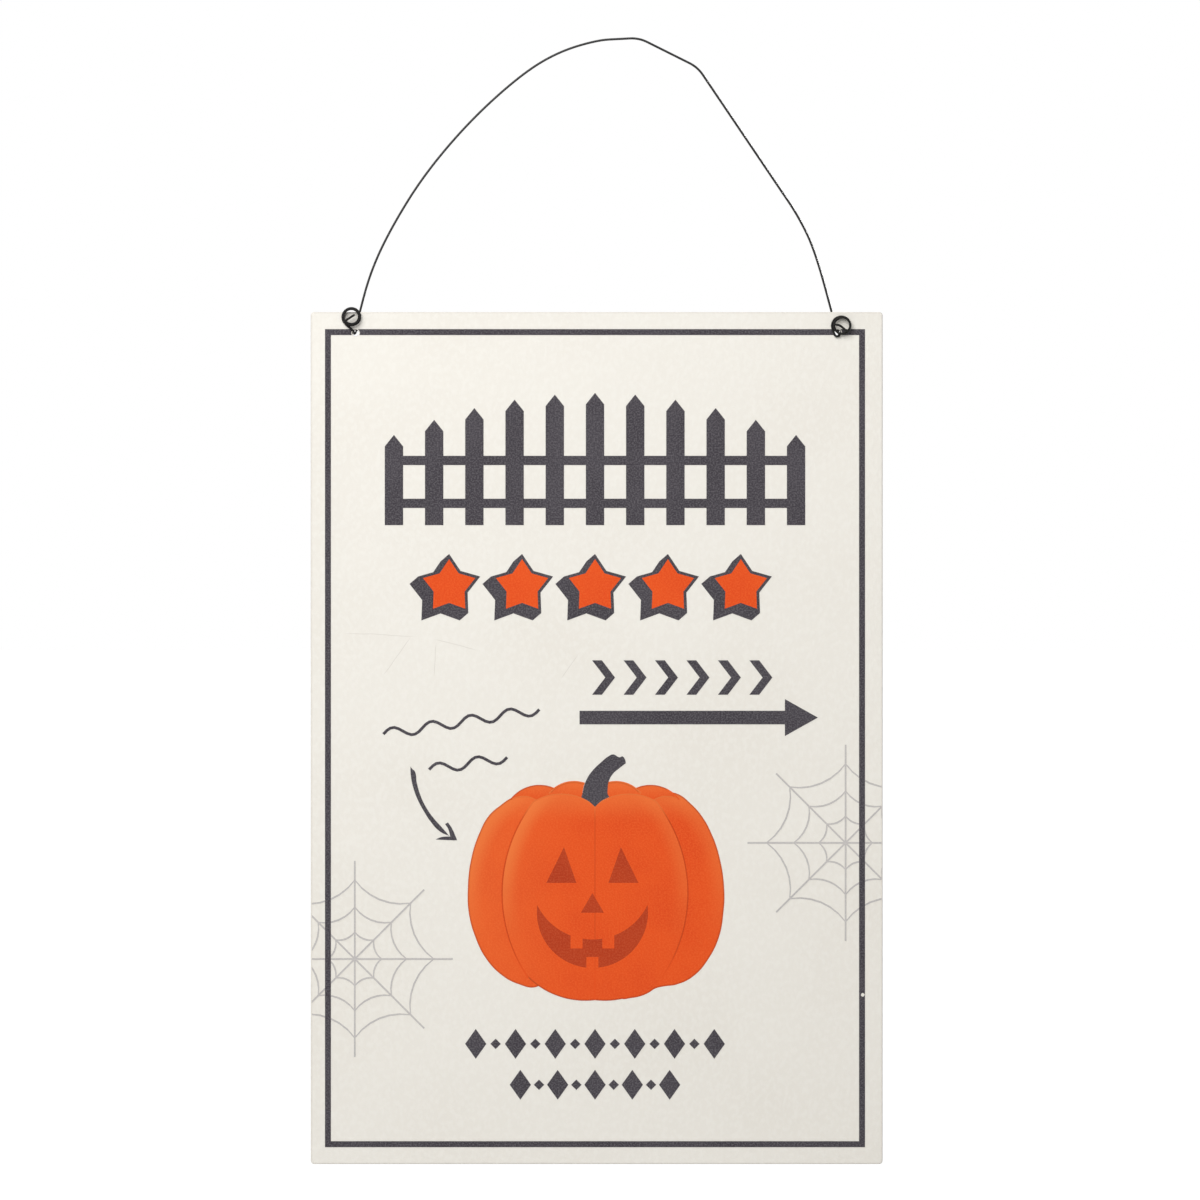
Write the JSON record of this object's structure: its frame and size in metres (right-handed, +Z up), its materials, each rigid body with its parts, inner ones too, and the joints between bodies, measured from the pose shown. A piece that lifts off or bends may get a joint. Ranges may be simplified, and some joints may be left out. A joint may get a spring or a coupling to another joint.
{
  "type": "hanging sign",
  "caption": "Upright printed board sign with a bordered pumpkin, arrow and cobweb design, hung from one arched wire whose ends curl in front of drilled holes.",
  "frame": {"origin": "where a nail bears: the underside of the hanger wire, above the middle of the board", "axes": "+Z up, the print faces -Y, +X to the right of someone who faces it"},
  "size_m": [0.2, 0.0079, 0.3947],
  "materials": {
    "board_paint": "matt off-white paint on fibreboard",
    "hanger_wire": "black annealed wire",
    "charcoal_ink": "matt printed ink",
    "orange_ink": "matt printed ink",
    "rib_ink": "matt printed ink",
    "cut_ink": "matt printed ink",
    "grey_ink": "matt printed ink"
  },
  "bodies": {
    "root": {"board": "board_paint", "wire_hanger": "hanger_wire", "pumpkin_rib_print": "rib_ink", "pumpkin_face_print": "cut_ink", "border_print": "charcoal_ink", "fence_print": "charcoal_ink", "star_shade_print": "charcoal_ink", "chevron_print": "charcoal_ink", "way_arrow_print": "charcoal_ink", "wave_print": "charcoal_ink", "pointer_print": "charcoal_ink", "pumpkin_stem_print": "charcoal_ink", "lozenge_print": "charcoal_ink", "star_print": "orange_ink", "pumpkin_front_print": "orange_ink", "pumpkin_side_print": "orange_ink", "pumpkin_back_print": "orange_ink", "left_web_print": "grey_ink", "right_web_print": "grey_ink"}
  },
  "joints": []
}
